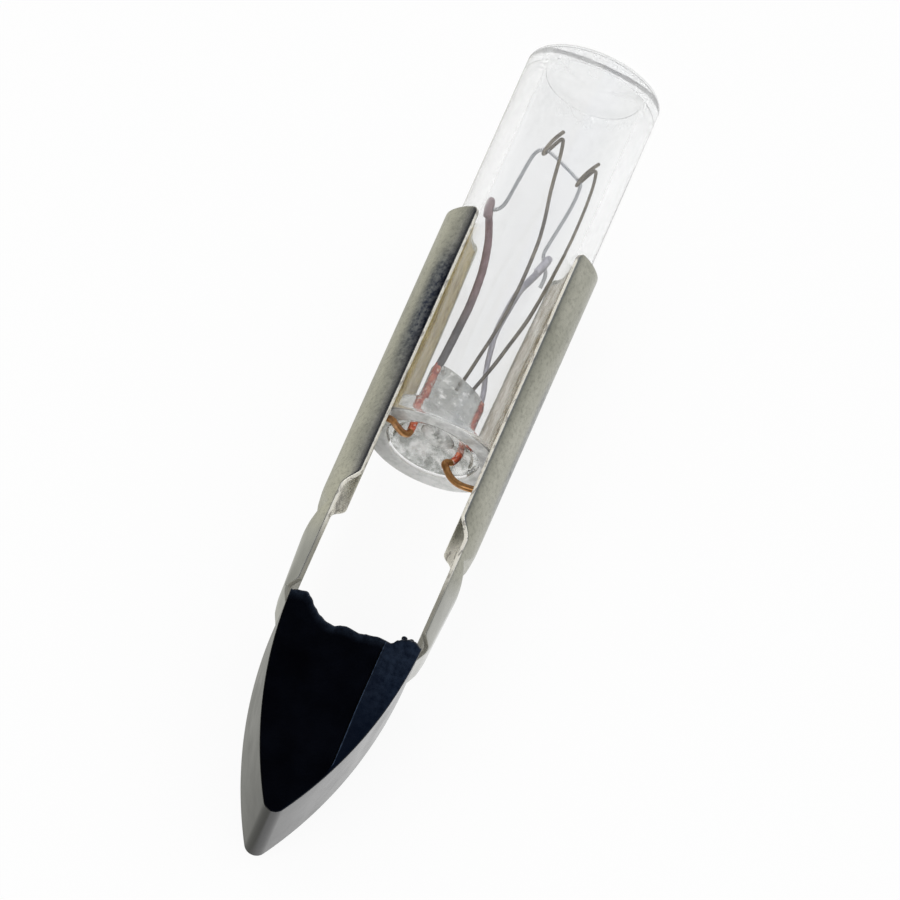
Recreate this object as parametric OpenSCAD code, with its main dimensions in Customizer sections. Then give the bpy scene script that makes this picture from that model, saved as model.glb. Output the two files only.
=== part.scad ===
// Slide-base indicator lamp, lying on its back.
// X runs across the two contact plates, Y along the lamp from the wedge to the closed end
// of the glass, and Z up. The origin is under the middle of the lamp, where the glass rests.
// The pieces are drawn standing on the tip of the wedge, then laid down together.

/* [Lamp] */
// Length from the tip of the wedge to the top of the glass
lamp_len = 30; // [28:0.1:34]

/* [Glass bulb] */
// Outside diameter of the glass tube
glass_d = 4.75; // [4.5:0.05:5.2]
// Length of the glass tube
glass_len = 14.85; // [13.8:0.05:16]
// Thickness of the tube wall
glass_wall = 0.62; // [0.45:0.01:0.7]
// Thickness of the closed end
glass_top_t = 0.45; // [0.3:0.05:0.8]
// Radius of the outer edge of the closed end
glass_top_round = 0.35; // [0.1:0.05:0.5]
// Radius inside the closed end
glass_bore_round = 0.3; // [0.1:0.05:0.5]
// Radius of the outer edge of the fire-polished open end
glass_rim_round = 0.4; // [0.1:0.05:0.5]

/* [Stem] */
// Diameter of the pressed stem inside the tube
stem_d = 3; // [2.7:0.05:3.1]
// Height of the stem above the open end of the glass
stem_h = 2.35; // [2:0.05:2.8]
// Radius of the stem's upper edge
stem_round = 0.25; // [0.1:0.05:0.4]
// Depth of the hollow under the stem, from the open end of the glass
recess_depth = 0.5; // [0.4:0.05:0.7]
// How far the flared skirt of the stem stays inside the open end
skirt_inset = 0.12; // [0.05:0.01:0.2]
// Height of the seam where the skirt is fused to the tube
seam_h = 0.35; // [0.2:0.05:0.5]
// Height of the skirt's slope up to the stem
flare_h = 0.5; // [0.3:0.05:0.7]
// Width of the skirt's lower edge
skirt_lip = 0.25; // [0.15:0.05:0.35]
// Radius of the ball that the sealed exhaust tip is a cap of
tip_ball_r = 0.9; // [0.8:0.05:1]
// How far the sealed exhaust tip stands out under the stem
tip_h = 0.25; // [0.15:0.01:0.27]

/* [Wires] */
// Distance between the two seal wires
lead_pitch = 1.9; // [1.8:0.05:1.95]
// Turn of the wire plane about the lamp's axis from the plane of the contact plates
mount_turn = 19; // [15:1:21]
// Diameter of the red copper-clad seal wires
seal_wire_d = 0.27; // [0.2:0.01:0.3]
// Length of seal wire that shows under the stem
seal_stub = 0.35; // [0.25:0.01:0.4]
// Diameter of the inner leads
inner_lead_d = 0.33; // [0.25:0.01:0.35]
// Diameter of the copper outer leads
outer_lead_d = 0.24; // [0.18:0.01:0.26]
// Diameter of the support wires
support_wire_d = 0.13; // [0.1:0.01:0.15]
// Depth that the support wires sink into the stem
support_sunk = 0.5; // [0.3:0.05:0.8]
// Outside diameter of the coiled filament
filament_d = 0.12; // [0.08:0.01:0.14]

/* [Contact plates] */
// Thickness of the plated sheet
plate_t = 0.17; // [0.12:0.01:0.22]
// Length of glass that shows above the plates
glass_showing = 6.85; // [6:0.05:8]
// Gap between the glass and the back of a plate's crown
crown_gap = 0.205; // [0.15:0.005:0.3]
// Bending radius of the plate, on its inside
plate_bend_r = 2.01; // [1.95:0.01:2.1]
// Width of the flat land along the crown of the plate
land_w = 0.7; // [0.4:0.05:0.9]
// Length of wide flange below the open end of the glass
flange_below_glass = 2.53; // [2:0.05:3]
// Height of the slope from the wide flange to the narrow shank
flange_slope_h = 0.64; // [0.4:0.02:1]
// Half angle that the bent shank covers, about its bending centre
shank_half_angle = 40; // [36:1:44]
// Distance from the end of the flange to the bottom of the locking groove
groove_below_flange = 1.23; // [1.1:0.01:1.5]
// Depth of the locking groove
groove_depth = 0.29; // [0.15:0.01:0.35]
// Half width of the narrow tongue where the plate enters the block
tongue_half_w = 1; // [0.8:0.05:1.2]
// Height of the tongue's shoulder above the top of the block
tongue_shoulder = 0.45; // [0.3:0.05:0.6]
// Depth of the tang inside the block, from the top of the block
tang_depth = 2.2; // [1.5:0.1:3]
// Distance of the tang's outer face inside the side of the block
tang_inset = 0.24; // [0.15:0.01:0.4]

/* [Joints and cement] */
// Radius of the solder beads
solder_r = 0.33; // [0.25:0.01:0.35]
// Width of the basing cement behind each plate
cement_w = 2.6; // [1.5:0.1:2.8]
// Length of the basing cement
cement_len = 6.2; // [4:0.1:6.6]
// Height of the lower end of the cement above the open end of the glass
cement_start = 0.6; // [0.5:0.1:1]

/* [Wedge block] */
// Height of the block's two ears above the tip
block_h = 7.75; // [7.4:0.05:8.2]
// Thickness of the block from front to back
block_t = 3.86; // [3.4:0.02:4.4]
// Distance of the block's side inside the outer face of the plates
block_inset = 0.39; // [0.36:0.01:0.45]
// Radius of the block's long side curves
ogive_r = 15.6; // [12:0.1:22]
// Radius of the nose
nose_r = 0.39; // [0.3:0.01:0.6]
// Distance from the middle of the block to the crease on its front
crease_x = 1.19; // [0.8:0.01:1.6]
// How far the land right of the crease falls back at the block's side
facet_drop = 0.1; // [0.05:0.01:0.2]

/* [Clearances] */
// Gap between pieces that are fused, moulded or cemented together
seam_gap = 0.02; // [0.01:0.005:0.03]
// Gap between the glass and the edges of the plate's flanges
flange_gap = 0.03; // [0.02:0.005:0.06]
// Gap between the filament and the wires that hold it
wire_gap = 0.02; // [0.01:0.005:0.03]
// Gap between the filament mount and the inside of the glass
mount_gap = 0.08; // [0.06:0.005:0.12]

/* [Hidden] */

$fn = 96;
slack = 1; // Overrun of a cutting shape past what it cuts

// Heights above the tip of the wedge
glass_bottom = lamp_len - glass_len;
cavity_top = lamp_len - glass_top_t;
stem_top = glass_bottom + stem_h;
ceiling = glass_bottom + recess_depth;
skirt_bottom = glass_bottom + skirt_inset;
plate_top = lamp_len - glass_showing;
flange_end = glass_bottom - flange_below_glass;
shank_top = flange_end - flange_slope_h;
groove_z = flange_end - groove_below_flange;
tongue_top = block_h + tongue_shoulder;
tang_end = block_h - tang_depth;
cement_bottom = glass_bottom + cement_start;

// Glass and stem
glass_r = glass_d / 2;
bore_r = glass_r - glass_wall;
stem_r = stem_d / 2;
skirt_r = bore_r - seam_gap;

// Contact plate, drawn on the right: crown faces, bending centre and flange angle
crown_in = glass_r + crown_gap;
crown_out = crown_in + plate_t;
bend_out = plate_bend_r + plate_t;
bend_x = crown_in - sqrt(pow(plate_bend_r, 2) - pow(land_w / 2, 2));
flange_reach = glass_r + flange_gap;
flange_half_angle = acos((pow(flange_reach, 2) - pow(bend_x, 2) - pow(plate_bend_r, 2))
    / (2 * bend_x * plate_bend_r));

// Block
block_half_w = crown_out - block_inset;
ogive_x = block_half_w - ogive_r;
ogive_z = nose_r + sqrt(pow(ogive_r - nose_r, 2) - pow(ogive_x, 2));
nose_tangent_z = nose_r - nose_r * (ogive_z - nose_r) / (ogive_r - nose_r);

// Top edge of the block as moulded: [share of the half width, depth below the ears]
moulded_edge = [
    [-1, 0.14], [-0.88, 0.06], [-0.77, 0], [-0.69, 0.14], [-0.59, 0.4], [-0.48, 0.6],
    [-0.36, 0.72], [-0.24, 0.74], [-0.17, 0.64], [-0.08, 0.58], [0.11, 0.62], [0.25, 0.53],
    [0.39, 0.46], [0.58, 0.48], [0.65, 0.26], [0.72, 0.14], [0.79, 0.07], [0.88, 0.05],
    [1, 0.18]
];

// Crown of the plate from the groove down into the block: [fall from the crown, height].
// Its bends keep their shares of the height from the block up to the groove, and of the tang.
waist_h = groove_z - block_h;
tang_fall = block_inset + tang_inset;
plate_fall = [
    [0, groove_z + 0.23 * waist_h], [0.2 * groove_depth, groove_z + 0.12 * waist_h],
    [groove_depth, groove_z], [0.45 * groove_depth, groove_z - 0.08 * waist_h],
    [0.1 * groove_depth, groove_z - 0.18 * waist_h], [0, groove_z - 0.26 * waist_h],
    [0.25 * block_inset, block_h + 0.29 * waist_h], [block_inset / 3, block_h + 0.12 * waist_h],
    [block_inset / 2, block_h + 0.03 * waist_h], [0.9 * block_inset, block_h - 0.1 * tang_depth],
    [tang_fall, block_h - 0.39 * tang_depth], [tang_fall, tang_end - slack]
];

// The routes in the bulb count the mount's radius and the hollow's height above the stem as this
// many units, and those under it the radius of the glass. So they grow and shrink with the glass.
radius_units = 1.7;
height_units = 12.05;
glass_units = 2.375;
mount_k = (bore_r - mount_gap) / radius_units;
height_k = (cavity_top - stem_top) / height_units;
outer_k = glass_r / glass_units;

// Wires: spacing where the filament is gripped in a folded lead or hooked in an eye
fold = ((inner_lead_d + filament_d) / 2 + wire_gap) / mount_k;
fold_side = 0.6 * fold;
eye = ((support_wire_d + filament_d) / 2 + wire_gap) / mount_k;
eye_side = eye * cos(45);
lead_x = lead_pitch / 2 * cos(mount_turn);
lead_front = lead_pitch / 2 * sin(mount_turn);
wire_sides = 8;
wire_steps = 3; // Rings from one point of a route to the next

// Where the support wires stand in the stem: [right, front]
left_support_foot = [-0.09, 0];
right_support_foot = [0.38, -0.1];

// Routes inside the bulb: [right, front, height above the stem]
left_grip = 0.33;
left_lead_route = [
    [-0.86, 0.31, 0.6], [-0.82, 0.31, 2], [-0.79, 0.3, 3], [-0.87, 0.27, 4.25],
    [-1.05, 0.2, 5.3], [-1.28, left_grip - fold, 6.05], [-1.42, left_grip - fold, 6.42],
    [-1.47, left_grip - fold_side, 6.74], [-1.48, left_grip, 6.85],
    [-1.47, left_grip + fold_side, 6.74], [-1.42, left_grip + fold, 6.42],
    [-1.36, left_grip + fold, 6.1]
];
right_grip = -0.33;
right_lead_route = [
    [0.8, -0.4, 0.6], [0.62, -0.44, 1.34], [0.48, -0.42, 2.04], [0.38, -0.4, 2.75],
    [0.43, -0.4, 3.62], [0.54, -0.45, 4.5], [0.72, right_grip - fold, 5.05],
    [0.88, right_grip - fold, 5.5], [0.97, right_grip - fold_side, 5.83],
    [1, right_grip, 5.96], [0.97, right_grip + fold_side, 5.83],
    [0.88, right_grip + fold, 5.5], [0.81, right_grip + fold, 5.26]
];
left_eye = [-0.63, 0.15, 9.38];
left_support_route = [
    [0.02, 0, 0.45], [0.17, 0, 1.41], [0.37, 0, 2.79], [0.46, 0.03, 4.34],
    [0.44, 0.05, 5.99], [0.33, 0.05, 6.98], [0.11, 0.03, 8.14],
    [-0.07, left_eye[1] - eye, 9.4], [-0.19, left_eye[1] - eye, 9.98],
    [-0.25, left_eye[1] - eye, 10.07], [-0.33, left_eye[1] - eye, 9.98],
    [-0.58, left_eye[1] - eye, 9.42], left_eye + [0, -eye_side, -eye_side],
    left_eye + [-0.01, 0, -eye], left_eye + [0, eye_side, -eye_side],
    [-0.58, left_eye[1] + eye, 9.42], [-0.45, left_eye[1] + eye, 9.78],
    [-0.31, left_eye[1] + eye, 10.17]
];
right_eye = [0.86, -0.25, 9.01];
right_support_route = [
    [0.5, -0.1, 0.45], [0.74, -0.1, 1.29], [0.92, -0.1, 2.14], [1.15, -0.12, 3.34],
    [1.29, -0.16, 4.63], [1.45, -0.22, 6.6], [1.48, -0.3, 7.73],
    [1.44, right_eye[1] - eye, 8.95], [1.33, right_eye[1] - eye, 9.58],
    [1.25, right_eye[1] - eye, 9.68], [1.17, right_eye[1] - eye, 9.6],
    [0.92, right_eye[1] - eye, 9.06], right_eye + [0, -eye_side, -eye_side],
    right_eye + [-0.01, 0, -eye], right_eye + [0, eye_side, -eye_side],
    [0.92, right_eye[1] + eye, 9.06], [1.08, right_eye[1] + eye, 9.42],
    [1.25, right_eye[1] + eye, 9.82]
];
filament_route = [
    [-1.64, 0.31, 6.33], [-1.44, left_grip, 6.45], [-1.26, 0.32, 6.56], [-1.11, 0.3, 6.9],
    [-1.02, 0.25, 7.94], [-0.93, 0.2, 8.92], [-0.81, 0.17, 9.26], left_eye,
    [-0.44, 0.11, 9.39], [0.04, -0.03, 9.28], [0.66, -0.2, 9.09], right_eye,
    [0.98, -0.27, 8.83], [0.99, -0.28, 8.09], [0.87, -0.3, 7.01],
    [0.77, right_grip, 6.15], [0.81, right_grip, 5.9], [0.93, right_grip, 5.66],
    [1.06, right_grip, 5.45], [1.12, right_grip, 5.2], [1.12, right_grip, 4.8]
];

// Where the outer leads are soldered: [front, height above the open end of the glass]
left_solder = outer_k * [1.42, -0.3];
right_solder = outer_k * [0.4, -0.85];
solder_cover = 0.1; // Solder between the end of a lead and the plate

// Routes under the glass, up to the solder: [right, front, height above the open end]
left_outer_route = [
    [-0.91, 0.35, 0.04], [-0.97, 0.43, -0.07], [-1.12, 0.6, -0.16],
    [-1.3, 0.86, -0.21], [-1.46, 1.16, -0.25]
];
right_outer_route = [
    [0.82, -0.29, 0], [0.67, -0.25, -0.09], [0.61, -0.18, -0.22], [0.67, -0.1, -0.37],
    [0.87, 0, -0.62], [1.14, 0.12, -0.81], [1.43, 0.25, -0.9], [1.74, 0.33, -0.9],
    [2.05, 0.39, -0.87]
];

// Inner face of a plate at a distance in front of the lamp's axis
function plate_inner_x(front) = min(crown_in, bend_x + sqrt(pow(plate_bend_r, 2) - pow(front, 2)));

function unit(v) = v / norm(v);

// A point on a smooth curve through b and c, at the share s of the way between them
function curve_point(a, b, c, d, s) =
    0.5 * (2 * b + (c - a) * s + (2 * a - 5 * b + 4 * c - d) * s * s
    + (3 * b - a - 3 * c + d) * s * s * s);

// A route with its corners smoothed
function smoothed(route, steps) = let (last = len(route) - 1) concat(
    [for (i = [0 : last - 1]) for (j = [0 : steps - 1])
        curve_point(route[max(i - 1, 0)], route[i], route[i + 1], route[min(i + 2, last)], j / steps)],
    [route[last]]
);

// Direction of a path at each of its points
function headings(path) = let (last = len(path) - 1) [
    for (i = [0 : last]) unit(path[min(i + 1, last)] - path[max(i - 1, 0)])
];

// A vector square to the path at each point, carried along without twist
function side_vectors(dirs, i = 0, done = []) =
    i == len(dirs) ? done : let (
        before = i == 0 ? (abs(dirs[0][0]) < 0.7 ? [1, 0, 0] : [0, 1, 0]) : done[i - 1],
        square = before - (before * dirs[i]) * dirs[i]
    ) side_vectors(dirs, i + 1, concat(done, [unit(square)]));

// A round wire swept along a path, closed at both ends
module swept_wire(path, d) {
    dirs = headings(path);
    sides = side_vectors(dirs);
    rings = len(path);
    points = [for (i = [0 : rings - 1]) for (k = [0 : wire_sides - 1])
        let (turn = 360 * k / wire_sides)
        path[i] + d / 2 * (cos(turn) * sides[i] + sin(turn) * cross(dirs[i], sides[i]))];
    walls = [for (i = [0 : rings - 2]) for (k = [0 : wire_sides - 1])
        let (a = i * wire_sides + k, b = i * wire_sides + (k + 1) % wire_sides)
        each [[a, a + wire_sides, b], [b, a + wire_sides, b + wire_sides]]];
    first_end = [for (k = [1 : wire_sides - 2]) [0, k, k + 1]];
    base = (rings - 1) * wire_sides;
    last_end = [for (k = [1 : wire_sides - 2]) [base, base + k + 1, base + k]];
    polyhedron(points, concat(walls, first_end, last_end), convexity = 6);
}

// Lamp coordinates of a point given as [right, front, height]
function at(p) = [p[0], -p[1], p[2]];
function in_bulb(p) = at([p[0] * mount_k, p[1] * mount_k, stem_top + p[2] * height_k]);
function in_stem(foot, z) = at([foot[0] * mount_k, foot[1] * mount_k, stem_top + z]);
function under_glass(p) = at([p[0], p[1], glass_bottom + p[2]]);

// Lays what was drawn standing on its tip down on its back
module laid() {
    translate([0, -lamp_len / 2, glass_r]) rotate([-90, 0, 0]) children();
}

// Half section of a round body with rounded outer edges, for turning about the axis
module rounded_half(r, low, high, low_round, high_round) {
    translate([0, low + low_round]) square([r, high - low - low_round - high_round]);
    translate([0, high - high_round]) square([r - high_round, high_round]);
    translate([r - high_round, high - high_round]) circle(high_round);
    if (low_round > 0) {
        translate([0, low]) square([r - low_round, low_round]);
        translate([r - low_round, low + low_round]) circle(low_round);
    }
}

module glass_bulb() {
    color([0.86, 0.9, 0.9, 0.35]) laid() rotate_extrude() difference() {
        rounded_half(glass_r, glass_bottom, lamp_len, glass_rim_round, glass_top_round);
        rounded_half(bore_r, glass_bottom - slack, cavity_top, 0, glass_bore_round);
    }
}

// Straight hole or wire along the lamp's axis, at the place of a seal wire
module seal_wire_rod(side, d, low, high) {
    translate(at([side * lead_x, -side * lead_front, low])) cylinder(d = d, h = high - low);
}

module stem_press() {
    color([0.84, 0.88, 0.88, 0.5]) laid() difference() {
        rotate_extrude() difference() {
            union() {
                rounded_half(stem_r, skirt_bottom, stem_top, 0, stem_round);
                polygon([
                    [0, skirt_bottom], [skirt_r, skirt_bottom], [skirt_r, skirt_bottom + seam_h],
                    [stem_r, skirt_bottom + seam_h + flare_h], [0, skirt_bottom + seam_h + flare_h]
                ]);
            }
            polygon([
                [0, skirt_bottom - slack], [skirt_r - skirt_lip, skirt_bottom - slack],
                [skirt_r - skirt_lip, skirt_bottom], [lead_pitch / 2 + seal_wire_d, ceiling],
                [0, ceiling]
            ]);
        }
        for (side = [-1, 1])
            seal_wire_rod(side, seal_wire_d + 2 * seam_gap, skirt_bottom - slack, stem_top + slack);
        for (foot = [left_support_foot, right_support_foot])
            translate(in_stem(foot, -support_sunk - seam_gap))
                cylinder(d = support_wire_d + 2 * seam_gap, h = support_sunk + slack);
    }
}

module exhaust_tip() {
    color([0.84, 0.88, 0.88, 0.5]) laid() intersection() {
        translate([0, 0, ceiling - tip_h + tip_ball_r]) sphere(tip_ball_r);
        translate([0, 0, ceiling - slack]) cylinder(r = tip_ball_r, h = slack);
    }
}

module seal_wire(side) {
    color([0.62, 0.2, 0.14]) laid() seal_wire_rod(side, seal_wire_d, ceiling - seal_stub, stem_top);
}

module inner_lead(side, route) {
    foot = at([side * lead_x, -side * lead_front, stem_top]);
    path = concat([foot], [for (p = route) in_bulb(p)]);
    color([0.48, 0.42, 0.42]) laid() swept_wire(smoothed(path, wire_steps), inner_lead_d);
}

module support_wire(foot, route) {
    sunk = [for (z = [-support_sunk, 0]) in_stem(foot, z)];
    path = concat(sunk, [for (p = route) in_bulb(p)]);
    color([0.42, 0.38, 0.32]) laid() swept_wire(smoothed(path, wire_steps), support_wire_d);
}

module filament() {
    path = [for (p = filament_route) in_bulb(p)];
    color([0.55, 0.56, 0.58]) laid() swept_wire(smoothed(path, wire_steps), filament_d);
}

module outer_lead(side, route, solder) {
    top = at([side * lead_x, -side * lead_front, ceiling - seal_stub]);
    end_x = plate_inner_x(solder[0]) - solder_cover;
    straight = [for (x = [end_x - solder_r, end_x]) under_glass([side * x, solder[0], solder[1]])];
    path = concat([top], [for (p = route) under_glass(outer_k * p)], straight);
    color([0.68, 0.4, 0.2]) laid() swept_wire(smoothed(path, wire_steps), outer_lead_d);
}

// Bead of solder between the end of an outer lead and the inside of its plate
module solder_bead(side, solder) {
    seat_x = plate_inner_x(solder[0]);
    color([0.66, 0.67, 0.68]) laid() difference() {
        intersection() {
            translate(under_glass([side * seat_x, solder[0], solder[1]])) sphere(solder_r);
            translate([0, 0, flange_end]) linear_extrude(glass_bottom - seam_gap - flange_end)
                facing(side) plate_hollow(seam_gap);
        }
        translate(under_glass([side * (seat_x - solder_cover + seam_gap), solder[0], solder[1]]))
            rotate([0, -side * 90, 0]) cylinder(d = outer_lead_d + 2 * seam_gap, h = 2 * solder_r);
    }
}

// Space inside a plate's bend, seen along the lamp, less a gap all round
module plate_hollow(gap) {
    intersection() {
        translate([bend_x, 0]) circle(plate_bend_r - gap);
        translate([0, -plate_bend_r]) square([crown_in - gap, 2 * plate_bend_r]);
    }
}

// Sector of a disc about the plate's bending centre
module bend_sector(r, half_angle) {
    intersection() {
        translate([bend_x, 0]) circle(r);
        translate([bend_x, 0]) polygon([
            [0, 0], 2 * r * [cos(half_angle), -sin(half_angle)], [2 * r, 0],
            2 * r * [cos(half_angle), sin(half_angle)]
        ]);
    }
}

// Front view of what lies inside the plate's crown, carried through from front to back
module crown_side(face) {
    rotate([90, 0, 0]) linear_extrude(4 * glass_r, center = true) polygon(concat(
        [[0, plate_top + slack], [face, plate_top + slack]],
        [for (p = plate_fall) [face - p[0], p[1]]],
        [[0, tang_end - slack]]
    ));
}

// What is cut from the sheet on both sides of the narrow tongue
module tongue_trim() {
    for (side = [-1, 1])
        translate([0, side * (tongue_half_w + glass_r) - glass_r, tang_end - slack])
            cube([2 * glass_r, 2 * glass_r, tongue_top - tang_end + slack]);
}

// The wide flange, sloped at its lower end down to the edge of the shank
module wide_flange() {
    edge_in = bend_x + plate_bend_r * cos(flange_half_angle);
    edge_out = bend_x + bend_out * cos(shank_half_angle);
    low = shank_top - flange_slope_h;
    difference() {
        translate([0, 0, low]) linear_extrude(plate_top - low)
            bend_sector(bend_out, flange_half_angle);
        rotate([90, 0, 0]) linear_extrude(4 * glass_r, center = true) polygon([
            [0, flange_end], [edge_in, flange_end], [edge_out, shank_top],
            [edge_out, low - slack], [0, low - slack]
        ]);
    }
}

// The bent sheet of the right-hand plate
module plate_sheet() {
    difference() {
        intersection() {
            union() {
                wide_flange();
                translate([0, 0, tang_end]) linear_extrude(shank_top - tang_end)
                    bend_sector(bend_out, shank_half_angle);
            }
            crown_side(crown_out);
        }
        intersection() {
            translate([bend_x, 0, tang_end - slack])
                cylinder(r = plate_bend_r, h = plate_top - tang_end + 2 * slack);
            crown_side(crown_in);
        }
        tongue_trim();
    }
}

// Turns what is drawn on the right to the side it is for
module facing(side) {
    mirror([side < 0 ? 1 : 0, 0, 0]) children();
}

module contact_plate(side) {
    color([0.66, 0.66, 0.62]) laid() facing(side) plate_sheet();
}

module cement(side) {
    color([0.72, 0.6, 0.38]) laid() facing(side)
        translate([0, 0, cement_bottom]) linear_extrude(cement_len) difference() {
            intersection() {
                plate_hollow(seam_gap);
                translate([0, -cement_w / 2]) square([2 * glass_r, cement_w]);
            }
            circle(glass_r + seam_gap);
        }
}

// Front view of the block, drawn in from its moulded top edge to a round nose
module block_outline() {
    intersection() {
        union() {
            intersection() {
                translate([-ogive_x, ogive_z]) circle(ogive_r);
                translate([ogive_x, ogive_z]) circle(ogive_r);
                translate([-block_half_w, nose_tangent_z])
                    square([2 * block_half_w, block_h + slack - nose_tangent_z]);
            }
            translate([0, nose_r]) circle(nose_r);
        }
        polygon(concat(
            [[-block_half_w, -slack]],
            [for (p = moulded_edge) [p[0] * block_half_w, block_h - p[1]]],
            [[block_half_w, -slack]]
        ));
    }
}

module wedge_block() {
    slope = facet_drop / (block_half_w - crease_x);
    color([0.07, 0.07, 0.09]) laid() difference() {
        rotate([90, 0, 0]) linear_extrude(block_t, center = true) block_outline();
        translate([0, 0, -slack]) linear_extrude(block_h + 2 * slack) polygon([
            [crease_x, -block_t / 2], [crease_x, -block_t],
            [2 * block_half_w, -block_t],
            [2 * block_half_w, slope * (2 * block_half_w - crease_x) - block_t / 2]
        ]);
        for (side = [-1, 1]) facing(side) plate_sheet();
    }
}

glass_bulb();
stem_press();
exhaust_tip();
seal_wire(-1);  // seal_wire_left
seal_wire(1);  // seal_wire_right
inner_lead(-1, left_lead_route);  // inner_lead_left
inner_lead(1, right_lead_route);  // inner_lead_right
outer_lead(-1, left_outer_route, left_solder);  // outer_lead_left
outer_lead(1, right_outer_route, right_solder);  // outer_lead_right
support_wire(left_support_foot, left_support_route);  // support_wire_left
support_wire(right_support_foot, right_support_route);  // support_wire_right
filament();
contact_plate(-1);  // contact_plate_left
contact_plate(1);  // contact_plate_right
solder_bead(-1, left_solder);  // solder_left
solder_bead(1, right_solder);  // solder_right
cement(-1);  // cement_left
cement(1);  // cement_right
wedge_block();
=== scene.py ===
"""Dressed model of a slide-base indicator lamp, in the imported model's frame.

X runs across the two contact plates, Y along the lamp from the wedge to the closed end of the
glass, and Z up. Places on the lamp are written as (right of the axis, in front of it, height
above the tip of the wedge), in millimetres, and lamp() turns them into the frame's metres.
"""
import math

import bpy
from mathutils import Matrix, Vector, noise


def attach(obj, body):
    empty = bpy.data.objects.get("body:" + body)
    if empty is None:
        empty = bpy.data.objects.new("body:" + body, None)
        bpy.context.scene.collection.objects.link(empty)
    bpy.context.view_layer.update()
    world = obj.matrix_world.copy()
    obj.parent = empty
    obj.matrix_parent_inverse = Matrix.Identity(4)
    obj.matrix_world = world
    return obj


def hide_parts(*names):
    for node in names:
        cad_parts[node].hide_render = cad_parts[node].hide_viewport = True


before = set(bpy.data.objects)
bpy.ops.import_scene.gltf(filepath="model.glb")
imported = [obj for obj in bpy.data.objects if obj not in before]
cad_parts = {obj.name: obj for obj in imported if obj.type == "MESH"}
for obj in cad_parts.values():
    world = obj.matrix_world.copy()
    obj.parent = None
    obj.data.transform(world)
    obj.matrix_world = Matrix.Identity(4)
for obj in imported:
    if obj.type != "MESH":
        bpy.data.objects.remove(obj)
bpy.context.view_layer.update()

MM = 0.001

# Sizes of the solids, in millimetres
LAMP_LEN = 30.0
GLASS_R = 2.375
GLASS_END = 15.15
BORE_R = 1.755
CAVITY_TOP = 29.55
STEM_R = 1.5
STEM_TOP = 17.5
STEM_CEILING = 15.65
SKIRT_BOTTOM = 15.27
PLATE_TOP = 23.15
FLANGE_END = 12.62
SHANK_TOP = 11.98
GROOVE_H = 11.39
GROOVE_DEPTH = 0.29
TANG_END = 5.55
BLOCK_H = 7.75
BLOCK_HALF_W = 2.36
BLOCK_HALF_T = 1.93
BEND_X = 0.6006
BEND_IN = 2.01
BEND_OUT = 2.18
CROWN_OUT = 2.75
PLATE_T = 0.17
LEAD_X = 0.898
LEAD_FRONT = 0.309
MOUNT_K = 0.985

# The bore narrows a little where the tube was heated and sealed to the stem
SEALED_BORE_R = 1.64

# The stem was pressed a little aslant: rise of its top per mm to the left
STEM_SLANT = 0.22


def lamp(right, front, height):
    """The place in the frame, in metres, of a point on the lamp given in millimetres."""
    return Vector((right, height - LAMP_LEN / 2, GLASS_R + front)) * MM


def smoothstep(x, low, high):
    """A smooth rise from 0 at low to 1 at high."""
    s = min(1.0, max(0.0, (x - low) / (high - low)))
    return s * s * (3 - 2 * s)


# Materials

def new_material(name, **plain):
    """A new material; plain gives the shader's values that are the same all over."""
    mat = bpy.data.materials.new(name)
    mat.use_nodes = True
    tree = mat.node_tree
    shader = tree.nodes["Principled BSDF"]
    for key, value in plain.items():
        shader.inputs[key].default_value = value
    return mat, tree, shader


def noise_at(tree, scale, detail=3.0, rough=0.5, stretch=(1, 1, 1), distortion=0.0):
    """A noise pattern fixed to the piece, its scale counted per millimetre."""
    coords = tree.nodes.new("ShaderNodeTexCoord")
    mapping = tree.nodes.new("ShaderNodeMapping")
    mapping.inputs["Scale"].default_value = tuple(s / MM for s in stretch)
    tree.links.new(coords.outputs["Object"], mapping.inputs["Vector"])
    tex = tree.nodes.new("ShaderNodeTexNoise")
    tex.inputs["Scale"].default_value = scale
    tex.inputs["Detail"].default_value = detail
    tex.inputs["Roughness"].default_value = rough
    tex.inputs["Distortion"].default_value = distortion
    tree.links.new(mapping.outputs["Vector"], tex.inputs["Vector"])
    return tex.outputs["Fac"]


def ramp(tree, source, stops):
    """A colour ramp over source; stops are (place, colour)."""
    node = tree.nodes.new("ShaderNodeValToRGB")
    points = node.color_ramp.elements
    while len(points) < len(stops):
        points.new(0.5)
    for point, (place, colour) in zip(points, stops):
        point.position = place
        point.color = (*colour, 1)
    tree.links.new(source, node.inputs["Fac"])
    return node.outputs["Color"]


def remap(tree, source, low, high, out_low=0.0, out_high=1.0):
    node = tree.nodes.new("ShaderNodeMapRange")
    ends = {"From Min": low, "From Max": high, "To Min": out_low, "To Max": out_high}
    for key, value in ends.items():
        node.inputs[key].default_value = value
    tree.links.new(source, node.inputs["Value"])
    return node.outputs["Result"]


def blend(tree, factor, first, second, mode="MIX"):
    """A mix of two colours, each a link or a plain value."""
    node = tree.nodes.new("ShaderNodeMix")
    node.data_type = "RGBA"
    node.blend_type = mode
    sockets = node.inputs[0], node.inputs[6], node.inputs[7]
    for socket, value in zip(sockets, (factor, first, second)):
        if isinstance(value, (int, float)):
            socket.default_value = value
        elif isinstance(value, tuple):
            socket.default_value = (*value, 1)
        else:
            tree.links.new(value, socket)
    return node.outputs[2]


def math_node(tree, operation, first, second):
    node = tree.nodes.new("ShaderNodeMath")
    node.operation = operation
    for socket, value in zip(node.inputs, (first, second)):
        if isinstance(value, (int, float)):
            socket.default_value = value
        else:
            tree.links.new(value, socket)
    return node.outputs[0]


def stored(tree, name):
    """A share stored at the points of the mesh where its finish differs."""
    node = tree.nodes.new("ShaderNodeAttribute")
    node.attribute_name = name
    return node.outputs["Fac"]


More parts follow.
